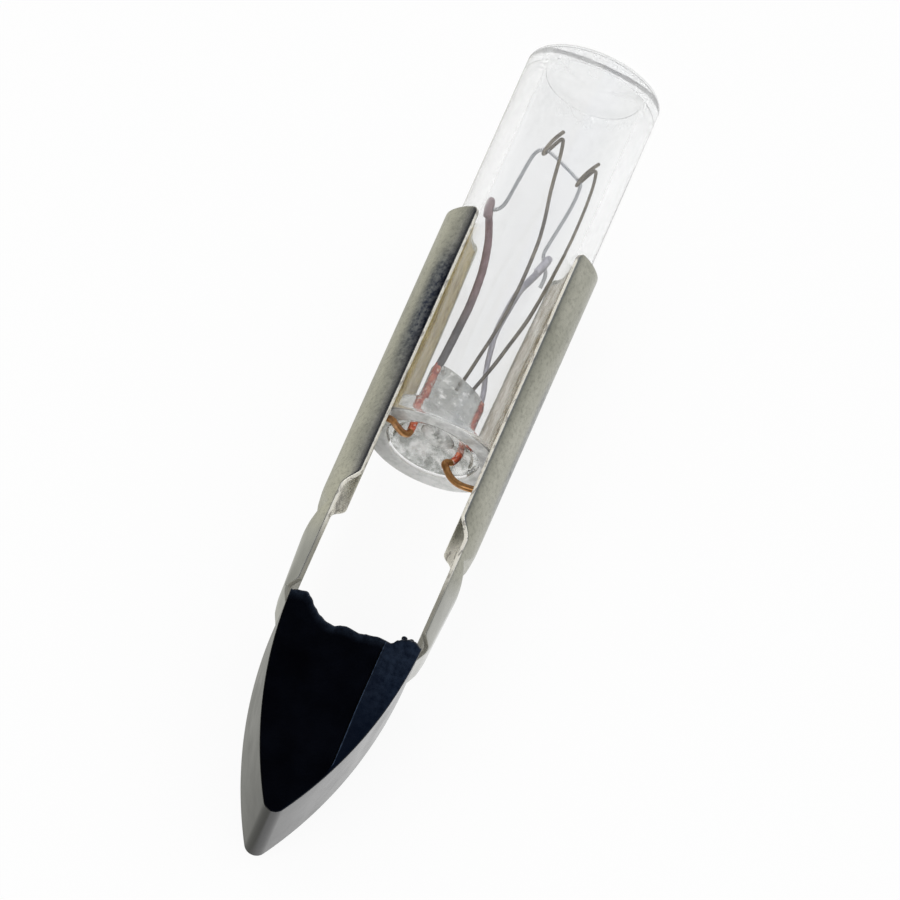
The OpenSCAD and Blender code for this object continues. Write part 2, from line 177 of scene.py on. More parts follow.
def place_parts(tree, kind="Object"):
    """X, Y and Z of a place on the piece or, for the world with Generated, of a direction."""
    coords = tree.nodes.new("ShaderNodeTexCoord")
    split = tree.nodes.new("ShaderNodeSeparateXYZ")
    tree.links.new(coords.outputs[kind], split.inputs[0])
    return split.outputs


def feed(shader, socket, source):
    shader.id_data.links.new(source, shader.inputs[socket])


def bump(tree, shader, height, strength, distance_mm):
    node = tree.nodes.new("ShaderNodeBump")
    node.inputs["Strength"].default_value = strength
    node.inputs["Distance"].default_value = distance_mm * MM
    tree.links.new(height, node.inputs["Height"])
    feed(shader, "Normal", node.outputs["Normal"])


def bulb_glass():
    """Clear drawn glass with faint streaks, milky where its stored haze says so, its milk painted
    grey as shade where its stored milk shade says so.
    """
    mat, tree, shader = new_material("bulb_glass_clear", Roughness=0.0, IOR=1.5)
    streak = noise_at(tree, 1.1, 2.0, 0.5, (1, 0.12, 1))
    worked = math_node(tree, "MULTIPLY", stored(tree, "haze"),
                       remap(tree, noise_at(tree, 1.4, 4.0, 0.6), 0.38, 0.62, 0.6, 1.1))
    haze = math_node(tree, "ADD", worked, remap(tree, streak, 0.4, 0.65, 0.03, 0.07))
    feed(shader, "Transmission Weight", math_node(tree, "SUBTRACT", 1.0, haze))
    tint = ramp(tree, streak, [(0.35, (0.975, 0.98, 0.98)), (0.65, (0.99, 0.99, 0.99))])
    mottle = noise_at(tree, 2.4, 5.0, 0.7)
    # grey milk is painted shade; white milk is the glass's own colour
    grey = ramp(tree, mottle, [(0.38, (0.42, 0.43, 0.41)), (0.58, (0.88, 0.89, 0.87))])
    white = ramp(tree, mottle, [(0.4, (0.82, 0.84, 0.83)), (0.52, (0.97, 0.98, 0.98))])
    milk = blend(tree, stored(tree, "milk_shade"), grey, white)
    feed(shader, "Base Color", blend(tree, haze, tint, milk))
    bump(tree, shader, noise_at(tree, 0.8, 2.0, 0.5, (1, 0.1, 1)), 1.0, 0.004)
    return mat


def stem_glass():
    """Pressed glass, cloudy inside, with small bubbles."""
    mat, tree, shader = new_material("stem_glass_cloudy", IOR=1.12)
    cloud = noise_at(tree, 1.6, 5.0, 0.65)
    seed = noise_at(tree, 3.6, 4.0, 0.6)
    bubble = remap(tree, seed, 0.56, 0.68, 0.0, 0.8)
    milk = ramp(tree, cloud, [(0.35, (0.42, 0.43, 0.41)), (0.65, (0.66, 0.67, 0.65))])
    pale = ramp(tree, cloud, [(0.42, (0.34, 0.35, 0.33)), (0.56, (0.93, 0.94, 0.93))])
    milk = blend(tree, stored(tree, "under"), milk, pale)
    feed(shader, "Base Color", blend(tree, bubble, milk, (0.95, 0.95, 0.94)))
    thick = math_node(tree, "ADD", remap(tree, cloud, 0.38, 0.62, 0.2, 0.6), bubble)
    thick = math_node(tree, "MULTIPLY", thick, stored(tree, "cloudy"))
    feed(shader, "Transmission Weight", math_node(tree, "SUBTRACT", 1.0, thick))
    feed(shader, "Roughness", remap(tree, cloud, 0.35, 0.65, 0.02, 0.22))
    bump(tree, shader, noise_at(tree, 1.3, 4.0, 0.6), 1.0, 0.03)
    return mat


def nickel(name, dull, bright, clean, rough):
    """Nickel plate, toned above and clean low down, with a painted dark reflection, and its cut
    edges painted bright as a highlight.
    """
    mat, tree, shader = new_material(name)
    cloud = noise_at(tree, 0.7, 4.0, 0.6, (1, 0.4, 1))
    speck = noise_at(tree, 7.0, 3.0, 0.7)
    base = ramp(tree, cloud, [(0.3, dull), (0.7, bright)])
    spots = ramp(tree, speck, [(0.36, (0.7, 0.7, 0.7)), (0.5, (1, 1, 1))])
    base = blend(tree, 0.6, base, spots, "MULTIPLY")
    nick = noise_at(tree, 7.0, 2.0, 0.6, (1, 0.35, 1))
    # the cut edges are painted bright cream and made less metallic, as the highlight along them;
    # low down they are painted dark grey
    glint = ramp(tree, nick, [(0.36, (0.43, 0.41, 0.37)), (0.46, (0.95, 0.92, 0.82))])
    clean_low, clean_high = tuple(0.8 * c for c in clean), tuple(1.12 * c for c in clean)
    wiped = ramp(tree, cloud, [(0.36, clean_low), (0.64, clean_high)])
    low_down = stored(tree, "clean")
    base = blend(tree, low_down, base, wiped)
    glint = blend(tree, low_down, glint, (0.33, 0.32, 0.27))
    # a blue-black patch painted in place of the darker reflection where the sheet is bent
    dark_patch_colour = ramp(tree, noise_at(tree, 5.0, 4.0, 0.75),
                   [(0.4, (0.045, 0.055, 0.085)), (0.6, (0.27, 0.28, 0.28))])
    base = blend(tree, stored(tree, "dark_patch"), base, dark_patch_colour)
    edge = stored(tree, "edge")
    feed(shader, "Base Color", blend(tree, edge, base, glint))
    feed(shader, "Metallic", remap(tree, edge, 0.0, 1.0, 1.0, 0.2))
    grain = remap(tree, speck, 0.35, 0.65, rough + 0.06, rough - 0.04)
    grain = math_node(tree, "SUBTRACT", grain, math_node(tree, "MULTIPLY", low_down, 0.12))
    feed(shader, "Roughness", grain)
    bump(tree, shader, noise_at(tree, 3.0, 4.0, 0.65, (1, 0.5, 1)), 0.5, 0.01)
    return mat


def wire_finish(name, dark, light, rough, metallic=1.0, scale=5.0, depth_mm=0.006):
    """Drawn wire or solder, uneven in colour, polish and surface."""
    mat, tree, shader = new_material(name, Metallic=metallic)
    grain = noise_at(tree, scale, 4.0, 0.6, (1, 0.4, 1))
    feed(shader, "Base Color", ramp(tree, grain, [(0.35, dark), (0.65, light)]))
    polish = remap(tree, grain, 0.3, 0.7, rough + 0.1, rough - 0.05)
    feed(shader, "Roughness", polish)
    bump(tree, shader, grain, 0.5, depth_mm)
    return mat


def mauve_lead():
    """The left lead, mauve above and grey towards the stem."""
    mat, tree, shader = new_material("lead_mauve", Metallic=0.3, Roughness=0.45)
    grain = noise_at(tree, 5.0, 4.0, 0.6, (1, 0.4, 1))
    mauve = ramp(tree, grain, [(0.35, (0.2, 0.115, 0.12)), (0.65, (0.32, 0.21, 0.22))])
    grey = ramp(tree, grain, [(0.35, (0.06, 0.053, 0.055)), (0.65, (0.12, 0.108, 0.11))])
    above = remap(tree, place_parts(tree)["Y"], 4.2 * MM, 6.2 * MM)
    feed(shader, "Base Color", blend(tree, above, grey, mauve))
    bump(tree, shader, grain, 0.5, 0.006)
    return mat


def seal_finish():
    """The red glaze on the seal wires, mottled and flecked."""
    mat, tree, shader = new_material("red_seal_wire", IOR=1.5, Roughness=0.35)
    patch = noise_at(tree, 3.6, 5.0, 0.7)
    fleck = noise_at(tree, 8.0, 3.0, 0.6)
    red = ramp(tree, patch, [
        (0.36, (0.2, 0.02, 0.01)), (0.5, (0.55, 0.09, 0.035)), (0.62, (0.8, 0.3, 0.18))])
    white = ramp(tree, fleck, [(0.55, (0, 0, 0)), (0.62, (1, 1, 1))])
    feed(shader, "Base Color", blend(tree, white, red, (0.76, 0.6, 0.52)))
    bump(tree, shader, patch, 0.6, 0.03)
    return mat


def phenolic():
    """Black moulded phenolic, painted blue-grey as reflection on the right facet and as a highlight
    on its crease, and tinted blue-grey along the top edge.
    """
    mat, tree, shader = new_material("black_phenolic", IOR=1.45)
    cloud = noise_at(tree, 0.8, 3.0, 0.6)
    body = ramp(tree, cloud, [(0.3, (0.0, 0.0, 0.0)), (0.7, (0.0006, 0.0008, 0.0014))])
    # blue-grey painted as the facet's reflection and the crease's highlight, and as a tint on the
    # top edge
    sheen_and_edge_tint = ramp(tree, noise_at(tree, 5.0, 4.0, 0.6),
                [(0.35, (0.012, 0.02, 0.038)), (0.65, (0.05, 0.078, 0.13))])
    feed(shader, "Base Color", blend(tree, stored(tree, "sheen_and_edge_tint"), body, sheen_and_edge_tint))
    feed(shader, "Roughness", remap(tree, cloud, 0.3, 0.7, 0.16, 0.24))
    bump(tree, shader, noise_at(tree, 2.5, 4.0, 0.55), 0.3, 0.008)
    return mat


def basing_cement(name, dark, light):
    """Baked cement, granular and matt."""
    mat, tree, shader = new_material(name, Roughness=0.75)
    grain = noise_at(tree, 3.0, 5.0, 0.7, (1, 0.5, 1))
    feed(shader, "Base Color", ramp(tree, grain, [(0.38, dark), (0.6, light)]))
    bump(tree, shader, grain, 0.8, 0.04)
    return mat


MAT = {
    "bulb": bulb_glass(),
    "stem": stem_glass(),
    "seal": seal_finish(),
    "lead_left": mauve_lead(),
    "lead_right": wire_finish("lead_lilac", (0.42, 0.41, 0.46), (0.66, 0.65, 0.71), 0.45, 0.2),
    "copper": wire_finish("copper_lead", (0.4, 0.18, 0.06), (0.66, 0.35, 0.14), 0.35, 0.8),
    "support": wire_finish("support_wire_grey", (0.12, 0.1, 0.068), (0.26, 0.225, 0.16), 0.4, 0.5),
    "filament": wire_finish("filament_grey", (0.38, 0.39, 0.41), (0.62, 0.64, 0.66), 0.4, 0.3,
                            12.0),
    "plate_left": nickel("nickel_left", (0.54, 0.53, 0.445), (0.75, 0.735, 0.62),
                         (0.52, 0.52, 0.49), 0.26),
    # the right plate gets a darker copy of the same nickel, painted shade
    "plate_right": nickel("nickel_right_shaded", (0.32, 0.32, 0.265), (0.46, 0.455, 0.39),
                          (0.4, 0.4, 0.37), 0.3),
    "solder": wire_finish("solder_tin", (0.5, 0.5, 0.5), (0.72, 0.72, 0.71), 0.3, 1.0, 3.0, 0.03),
    "cement_left": basing_cement("cement_golden", (0.34, 0.25, 0.07), (0.7, 0.58, 0.27)),
    "cement_right": basing_cement("cement_tan", (0.34, 0.28, 0.17), (0.86, 0.84, 0.77)),
    "block": phenolic(),
}


# Making pieces

def add_object(name, data):
    thing = bpy.data.objects.new(name, data)
    bpy.context.scene.collection.objects.link(thing)
    return thing


def make_piece(name, mesh_data, material, nodes, shares=None):
    """A smooth piece that rides with the lamp, with shares stored at its points."""
    points, faces = mesh_data
    mesh = bpy.data.meshes.new(name)
    mesh.from_pydata(points, [], faces)
    for key, values in (shares or {}).items():
        mesh.attributes.new(key, "FLOAT", "POINT").data.foreach_set("value", values)
    mesh.validate()
    mesh.update()
    for poly in mesh.polygons:
        poly.use_smooth = True
    piece = add_object(name, mesh)
    mesh.materials.append(MAT[material])
    if material in ("bulb", "stem"):
        # light falls through clear glass on what is inside
        piece.visible_shadow = False
        piece.visible_diffuse = False
    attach(piece, "root")
    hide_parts(*nodes)
    return piece


def add_face(faces, corners):
    """Adds a face without its repeated corners, where three or more are left."""
    corners = [v for i, v in enumerate(corners) if v not in corners[:i]]
    if len(corners) > 2:
        faces.append(corners)


def lathe(profile, segments=160, shape=None):
    """Points and faces of a closed body turned about the lamp's axis from an outline of
    (radius, height) that starts and ends on the axis. shape moves (right, front, height)."""
    points, rings, faces = [], [], []
    for r, h in profile:
        count = 1 if r < 1e-6 else segments
        ring = []
        for k in range(count):
            turn = 2 * math.pi * k / segments
            place = Vector((r * math.cos(turn), r * math.sin(turn), h))
            if shape:
                place = shape(place)
            ring.append(len(points))
            points.append(lamp(*place))
        rings.append(ring * (segments if count == 1 else 1))
    for low, high in zip(rings, rings[1:]):
        for k in range(segments):
            n = (k + 1) % segments
            add_face(faces, [low[k], low[n], high[n], high[k]])
    return points, faces


def corner(cr, ch, radius, start, end, steps=10):
    """Points of a round corner about (cr, ch), from one angle in degrees to another."""
    angles = [math.radians(start + (end - start) * i / steps) for i in range(steps + 1)]
    return [(cr + radius * math.cos(a), ch + radius * math.sin(a)) for a in angles]


def held(profile, margin=0.02):
    """The outline with extra points close to each end of its long sides, so shading stays true."""
    out = [profile[0]]
    for (r0, h0), (r1, h1) in zip(profile, profile[1:]):
        length = math.hypot(r1 - r0, h1 - h0)
        if length > 6 * margin:
            k = margin / length
            out.append((r0 + (r1 - r0) * k, h0 + (h1 - h0) * k))
            out.append((r1 + (r0 - r1) * k, h1 + (h0 - h1) * k))
        out.append((r1, h1))
    return out


def curve_point(a, b, c, d, s):
    """A point between b and c on the smooth curve through a, b, c and d."""
    cubic = (3 * b - a - 3 * c + d) * s ** 3
    return (2 * b + (c - a) * s + (2 * a - 5 * b + 4 * c - d) * s * s + cubic) / 2


def smooth_route(route, step_mm):
    """Evenly spaced points along a smooth curve through the route's points, in millimetres."""
    route = [Vector(p) for p in route]
    last = len(route) - 1
    dense = []
    for i in range(last):
        for j in range(24):
            dense.append(curve_point(route[max(i - 1, 0)], route[i], route[i + 1],
                                     route[min(i + 2, last)], j / 24))
    dense.append(route[last])
    out, gone = [dense[0]], 0.0
    for a, b in zip(dense, dense[1:]):
        length = (b - a).length
        while gone + length >= step_mm:
            a = a + (b - a) * ((step_mm - gone) / (b - a).length)
            out.append(a.copy())
            length = (b - a).length
            gone = 0.0
        gone += length
    if (out[-1] - dense[-1]).length > step_mm / 3:
        out.append(dense[-1])
    return out


def carried_sides(path):
    """The way of a path at each point, and two vectors square to it, carried without twist."""
    out, side = [], None
    for i in range(len(path)):
        way = (path[min(i + 1, len(path) - 1)] - path[max(i - 1, 0)]).normalized()
        if side is None:
            side = Vector((1, 0, 0)) if abs(way.x) < 0.7 else Vector((0, 1, 0))
        side = (side - side.dot(way) * way).normalized()
        out.append((way, side, way.cross(side)))
    return out


def tube(path, radius, sides=16, ends=4, shape=None):
    """A round wire along a path of (right, front, height), with domed ends. shape gives the
    radius's share at (share of the length, turn)."""
    frames = carried_sides(path)
    points, rings = [], []
    last = len(path) - 1

    def ring(centre, side, across, r, share):
        rings.append(len(points))
        for k in range(sides):
            turn = 2 * math.pi * k / sides
            rr = r * (shape(share, turn) if shape else 1.0)
            p = centre + side * (rr * math.cos(turn)) + across * (rr * math.sin(turn))
            points.append(lamp(*p))

    way, side, across = frames[0]
    for j in range(ends, 0, -1):
        a = math.radians(88 * j / ends)
        ring(path[0] - way * (radius * math.sin(a) * 0.6), side, across, radius * math.cos(a), 0)
    for i, p in enumerate(path):
        way, side, across = frames[i]
        ring(p, side, across, radius, i / last)
    for j in range(1, ends + 1):
        a = math.radians(88 * j / ends)
        ring(path[last] + way * (radius * math.sin(a) * 0.6), side, across, radius * math.cos(a), 1)
    return points, capped_rings(rings, sides)


def ring_faces(starts, count):
    """Faces between neighbouring rings of points, each ring given by its first point."""
    faces = []
    for low, high in zip(starts, starts[1:]):
        for k in range(count):
            n = (k + 1) % count
            faces.append([low + k, low + n, high + n, high + k])
    return faces


def capped_rings(starts, count):
    """The same, with a face over each end."""
    first, last = ([ring + k for k in range(count)] for ring in (starts[0], starts[-1]))
    return ring_faces(starts, count) + [first[::-1], last]


def joined(*parts):
    points, faces = [], []
    for more_points, more_faces in parts:
        base = len(points)
        points += more_points
        faces += [[base + v for v in f] for f in more_faces]
    return points, faces


def mirrored_faces(side, faces):
    """Faces made for the left, turned over for the right."""
    return [f[::-1] for f in faces] if side > 0 else faces


def looped(loops):
    """Points and faces through a row of loops with equally many points, open at both ends."""
    count = len(loops[0])
    points = [p for loop in loops for p in loop]
    return points, ring_faces(range(0, len(points), count), count)


# Glass bulb

RIM_SAG, WAVE = 0.2, 0.009


def rim_sag(p):
    """How much lower the rim hangs at the back."""
    return RIM_SAG * smoothstep(-p.y, -0.8, 2.2) * (1 - smoothstep(p.z, 15.3, 15.6))


def glass_wave(p):
    """Slow waves in the drawn tube."""
    r = math.hypot(p.x, p.y)
    if p.z < 15.6:
        return Vector((p.x, p.y, p.z - rim_sag(p)))
    if r < 1.2 or p.z > 29.2:
        return p
    wave = noise.noise(Vector((p.x / r * 1.6, p.y / r * 1.6, p.z * 0.08 + r)))
    k = 1 + WAVE * wave / r
    return Vector((p.x * k, p.y * k, p.z))


def bore_at(h):
    """The radius of the bore at a height."""
    return SEALED_BORE_R + (BORE_R - SEALED_BORE_R) * smoothstep(h, 18.5, 23.5)


TOP_ROUND, BORE_ROUND, RIM_ROUND, LIP_ROUND = 0.22, 0.06, 0.15, 0.08
bulb_outline = held(
    [(0, LAMP_LEN), (GLASS_R - TOP_ROUND - 0.1, LAMP_LEN)]
    + corner(GLASS_R - TOP_ROUND, LAMP_LEN - TOP_ROUND, TOP_ROUND, 90, 0)
    + [(GLASS_R, h) for h in (29.6, 27, 25, 23, 21, 19, 17, 16, 15.85, 15.7, 15.5)]
    + corner(GLASS_R - RIM_ROUND, GLASS_END + RIM_ROUND, RIM_ROUND, 0, -90)
    + corner(SEALED_BORE_R + LIP_ROUND, GLASS_END + LIP_ROUND, LIP_ROUND, -90, -180, 4)
    + [(bore_at(h), h) for h in (15.28, 15.4, 17, 18.4, 19, 20, 21, 22, 23, 23.6, 25, 27, 29, 29.3)]
    + corner(BORE_R - BORE_ROUND, CAVITY_TOP - BORE_ROUND, BORE_ROUND, 0, 90, 16)
    + [(BORE_R - BORE_ROUND - 0.1, CAVITY_TOP), (0, CAVITY_TOP)])


# Where grey crescents of painted shade lie in milkier glass at the end of the bore, in degrees
# round from the right
SWIRLS, SWIRL_WIDTH = (34, 146), 9


def bulb_haze(r, h, turn):
    """How milky the glass is where a flame worked it, and how white its milk: painted grey, as
    shade, on the side facing up and in crescents at the end of the bore.
    """
    front = r * math.sin(turn)
    if h > CAVITY_TOP + 0.02 and r > BORE_R:
        return 0.25 * smoothstep(r, GLASS_R - TOP_ROUND - 0.05, GLASS_R - 0.08), 1.0
    if CAVITY_TOP - 0.5 < h < CAVITY_TOP + 0.02 and r > BORE_R - 0.2:
        swirl = max(math.exp(-((math.degrees(turn) - spot) / SWIRL_WIDTH) ** 2) for spot in SWIRLS)
        return 0.12 + 0.4 * swirl, 1 - 0.8 * swirl
    # towards the front, which faces up, the milk is painted grey as shade
    if h < GLASS_END + 0.1 and r < GLASS_R - 0.08:
        near = smoothstep(front, -0.6, 0.9)
        return 1.5 - 0.75 * near, 1 - near
    near = smoothstep(front, 0.2, 1.2)
    return 0.2 * (1 - smoothstep(h, 15.2, 15.4 + 0.1 * near)), 1 - 0.6 * near


BULB_SIDES = 192
haze = [bulb_haze(r, h, 2 * math.pi * k / BULB_SIDES)
        for r, h in bulb_outline for k in range(1 if r < 1e-6 else BULB_SIDES)]
make_piece("bulb_glass_tube", lathe(bulb_outline, BULB_SIDES, glass_wave), "bulb", ["glass_bulb"],
           {"haze": [h for h, t in haze], "milk_shade": [t for h, t in haze]})


# Stem with its flared skirt

def stem_rise(right, h):
    """How far the slant of the stem lifts a point."""
    return -STEM_SLANT * right * smoothstep(h, 15.3, 15.9)


# The press: its turn, what it leaves of the stem's width and thickness, and where it sets in
PRESS_TURN = math.atan2(-LEAD_FRONT, LEAD_X)
PRESS_WIDE, PRESS_THICK = 0.76, 0.36
PRESS_START, PRESS_END = 15.8, 16.2

# How much of the rim's sag the skirt follows
SKIRT_SAG = 0.85


def stem_shape(p):
    """Presses the round stem flat round its wires, and lifts its left side."""
    pressed = smoothstep(p.z, PRESS_START, PRESS_END)
    wide = p.x * math.cos(PRESS_TURN) + p.y * math.sin(PRESS_TURN)
    thick = p.y * math.cos(PRESS_TURN) - p.x * math.sin(PRESS_TURN)
    lump = 1 + 0.05 * noise.noise(Vector((p.x * 1.1, p.y * 1.1, p.z * 1.2))) * pressed
    wide *= lump * (1 + (PRESS_WIDE - 1) * pressed)
    thick *= lump * (1 + (PRESS_THICK - 1) * pressed)
    x = wide * math.cos(PRESS_TURN) - thick * math.sin(PRESS_TURN)
    y = thick * math.cos(PRESS_TURN) + wide * math.sin(PRESS_TURN)
    return Vector((x, y, p.z + stem_rise(x, p.z) - SKIRT_SAG * rim_sag(p)))


SKIRT_R = SEALED_BORE_R - 0.02
PRESS_TOP = STEM_TOP + 0.1
STEM_ROUND = 0.3
stem_outline = held(
    [(0, PRESS_TOP), (0.6, PRESS_TOP)]
    + corner(STEM_R - STEM_ROUND, PRESS_TOP - STEM_ROUND, STEM_ROUND, 90, 0, 8)
    + [(STEM_R, h) for h in (17.2, 17, 16.8, 16.6, 16.4, 16.2, 16.15, 16.1, 16.05)]
    + [(STEM_R + 0.04, 15.95), (SKIRT_R, 15.75)]
    + [(SKIRT_R, SKIRT_BOTTOM + 0.05), (SKIRT_R - 0.05, SKIRT_BOTTOM)]
    + [(SKIRT_R - 0.2, SKIRT_BOTTOM)]
    + [(1.25, 15.48), (1.05, 15.6), (0.8, STEM_CEILING), (0, STEM_CEILING)])


def stem_shares(outline, segments):
    """Cloudy glass, clear over the seal wires and in the flare, and paler in the hollow below."""
    cloudy, under = [], []
    for r, h in outline:
        for k in range(1 if r < 1e-6 else segments):
            a = 2 * math.pi * k / segments - PRESS_TURN
            over_wire = smoothstep(abs(r * math.cos(a)), 0.9, 1.12) * smoothstep(h, 15.7, 16.3)
            flare = smoothstep(r, 1.3, 1.42) * (1 - smoothstep(h, 16.15, 16.25))
            cloudy.append((1 - 0.95 * over_wire) * (1 - 0.97 * flare))
            under.append(1 - smoothstep(h, 15.7, 15.8))
    return {"cloudy": cloudy, "under": under}


STEM_SIDES, TIP_SIDES = 128, 64
make_piece("stem_glass", lathe(stem_outline, STEM_SIDES, stem_shape), "stem", ["stem_press"],
           stem_shares(stem_outline, STEM_SIDES))

BALL_R, TIP_H = 0.9, 0.25
half_ball = math.acos((BALL_R - TIP_H) / BALL_R)
tip_outline = [(0, STEM_CEILING - 0.002), (BALL_R * math.sin(half_ball), STEM_CEILING - 0.002)]
for step in range(1, 11):
    a = half_ball * (1 - step / 10)
    tip_outline.append((BALL_R * math.sin(a), STEM_CEILING - TIP_H + BALL_R - BALL_R * math.cos(a)))
make_piece("exhaust_tip_glass", lathe(tip_outline, TIP_SIDES, stem_shape), "stem", ["exhaust_tip"],
           stem_shares(tip_outline, TIP_SIDES))


# Seal wires and inner leads

def seal_lumps(share, turn):
    return 1 + 0.12 * noise.noise(Vector((share * 25, math.cos(turn), math.sin(turn))))


SIDES = ((-1, "left"), (1, "right"))
SEAL_R, OUTER_LEAD_R, SUPPORT_R = 0.125, 0.12, 0.064
WIRE_STEP = 0.05
SEAL_ENDS = {
    "left": [(-LEAD_X, LEAD_FRONT, 15.3)],
    "right": [(0.87, -0.3, 15.36), (0.77, -0.28, 15.13)]}
for side, label in SIDES:
    rod_top = PRESS_TOP - STEM_SLANT * side * LEAD_X
    rod = [(side * LEAD_X, -side * LEAD_FRONT, h) for h in (rod_top, 17, 16.4, 15.9, 15.6)]
    rod = smooth_route(rod + SEAL_ENDS[label], WIRE_STEP)
    make_piece("seal_rod_" + label, tube(rod, SEAL_R, 16, 3, seal_lumps),
               "seal", ["seal_wire_" + label])


# How far below the solid stem's top the routes of the thin wires and of the leads begin
WIRE_DROP, LEAD_DROP = 0.13, 0.19


def in_bulb(route, drop=WIRE_DROP):
    """A route above the stem, in the turned frame of the mount, brought onto the lamp."""
    return [(p[0] * MOUNT_K, p[1] * MOUNT_K, STEM_TOP - drop + p[2]) for p in route]


# How far a lead's fold and a support wire's eye reach to each side of the filament
FOLD, EYE = 0.2487, 0.1472
LEFT_GRIP, RIGHT_GRIP = 0.33, -0.33


def folded(grip, *turns):
    """A lead's fold over the filament: (right, share of FOLD in front of the grip, height)."""
    return [(right, grip + share * FOLD, h) for right, share, h in turns]


left_lead = [
    (-0.911, 0.314, 0.42), (-0.87, 0.31, 0.9), (-0.82, 0.31, 2), (-0.79, 0.3, 3),
    (-0.87, 0.27, 4.25), (-1.07, 0.2, 5.3),
    *folded(LEFT_GRIP, (-1.32, -1, 6.05), (-1.47, -1, 6.4), (-1.53, -0.6, 6.7), (-1.55, 0, 6.8),
            (-1.53, 0.6, 6.7), (-1.48, 1, 6.4), (-1.42, 1, 6.1))]
right_lead = [
    (0.911, -0.314, 0.05), (0.83, -0.38, 0.6), (0.62, -0.44, 1.34), (0.48, -0.42, 2.04),
    (0.38, -0.4, 2.75), (0.43, -0.4, 3.62), (0.54, -0.45, 4.5),
    *folded(RIGHT_GRIP, (0.72, -1, 5.05), (0.88, -1, 5.5), (0.97, -0.6, 5.83), (1.0, 0, 5.96),
            (0.97, 0.6, 5.83), (0.88, 1, 5.5), (0.81, 1, 5.26))]


def lead_lumps(growth):
    """A lead's share of its radius: a little uneven, and thicker by growth above the stem."""
    def shape(share, turn):
        lump = 0.05 * noise.noise(Vector((share * 40, turn, 3)))
        return 1 + growth * smoothstep(share, 0.15, 0.6) + lump
    return shape


LEADS = (("left", left_lead, 0.13, 0.0), ("right", right_lead, 0.095, 0.35))
for label, route, radius, growth in LEADS:
    path = smooth_route(in_bulb(route, LEAD_DROP), WIRE_STEP)
    make_piece("lead_wire_" + label, tube(path, radius, 16, 4, lead_lumps(growth)),
               "lead_" + label, ["inner_lead_" + label])

# Support wires
left_eye, right_eye = (-0.63, 0.15, 9.38), (0.86, -0.25, 9.01)
LEFT_NEAR, LEFT_FAR = left_eye[1] + EYE, left_eye[1] - EYE
RIGHT_NEAR, RIGHT_FAR = right_eye[1] + EYE, right_eye[1] - EYE


def eye_turn(eye):
    """The underside of a support wire's eye, seen from the side."""
    e = EYE * 0.71
    return [(eye[0], eye[1] - e, eye[2] - e), (eye[0] - 0.01, eye[1], eye[2] - EYE),
            (eye[0], eye[1] + e, eye[2] - e)]


left_support = [
    (-0.09, 0, -0.02), (-0.07, 0, 0.15), (0.02, 0, 0.45), (0.17, 0, 1.41), (0.37, 0, 2.79),
    (0.46, 0.03, 4.34), (0.44, 0.05, 5.99), (0.33, 0.05, 6.98), (0.11, 0.03, 8.14),
    (-0.07, LEFT_FAR, 9.4), (-0.19, LEFT_FAR, 9.98), (-0.25, LEFT_FAR, 10.07),
    (-0.33, LEFT_FAR, 9.98), (-0.57, LEFT_FAR, 9.39), *eye_turn(left_eye),
    (-0.6, LEFT_NEAR, 9.45), (-0.49, LEFT_NEAR, 9.83), (-0.31, LEFT_NEAR, 10.2)]
right_support = [
    (0.38, -0.1, -0.05), (0.4, -0.1, 0.12), (0.5, -0.1, 0.45), (0.74, -0.1, 1.29),
    (0.92, -0.1, 2.14), (1.15, -0.12, 3.34), (1.29, -0.16, 4.63), (1.45, -0.22, 6.6),
    (1.48, -0.3, 7.73), (1.44, RIGHT_FAR, 8.95), (1.33, RIGHT_FAR, 9.58),
    (1.25, RIGHT_FAR, 9.68), (1.17, RIGHT_FAR, 9.6), (0.92, RIGHT_FAR, 9.06),
    *eye_turn(right_eye),
    (0.9, RIGHT_NEAR, 9.1), (1.04, RIGHT_NEAR, 9.47), (1.25, RIGHT_NEAR, 9.84)]
for label, route in (("left", left_support), ("right", right_support)):
    path = smooth_route(in_bulb(route), 0.04)
    make_piece("support_hook_" + label, tube(path, SUPPORT_R, 12, 3),
               "support", ["support_wire_" + label])

# Filament: a helix of fine wire along its route
filament_route = [
    (-1.64, 0.31, 6.33), (-1.44, LEFT_GRIP, 6.45), (-1.26, 0.32, 6.56), (-1.11, 0.3, 6.9),
    (-1.02, 0.25, 7.94), (-0.93, 0.2, 8.92), (-0.81, 0.17, 9.26), left_eye,
    (-0.44, 0.11, 9.39), (0.04, -0.03, 9.28), (0.66, -0.2, 9.09), right_eye,
    (0.98, -0.27, 8.83), (0.99, -0.28, 8.09), (0.87, -0.3, 7.01),
    (0.77, RIGHT_GRIP, 6.15), (0.81, RIGHT_GRIP, 5.9), (0.93, RIGHT_GRIP, 5.66),
    (1.06, RIGHT_GRIP, 5.45), (1.12, RIGHT_GRIP, 5.2), (1.12, RIGHT_GRIP, 4.8)]
COIL_R, COIL_WIRE_R, COIL_PITCH, TURN_STEPS = 0.052, 0.018, 0.06, 10
spine = smooth_route(in_bulb(filament_route), COIL_PITCH / TURN_STEPS)
helix = []
for i, (p, (way, side, across)) in enumerate(zip(spine, carried_sides(spine))):
    turn = 2 * math.pi * i / TURN_STEPS
    helix.append(p + side * (COIL_R * math.cos(turn)) + across * (COIL_R * math.sin(turn)))
make_piece("filament_coil", tube(helix, COIL_WIRE_R, 5, 1), "filament", ["filament"])


# Outer leads and solder

# How deep solder and cement reach into the plate, and how far cement stands off the glass
PLATE_SINK, GLASS_GAP = 0.01, 0.015


def plate_inner_x(front):
    """The distance from the axis to the inside of a plate."""
    return min(CROWN_OUT - PLATE_T, BEND_X + math.sqrt(BEND_IN ** 2 - front ** 2))


def under_glass(route):
    """A route with heights counted from the open end of the glass, brought onto the lamp."""
    return [(p[0], p[1], GLASS_END + p[2]) for p in route]


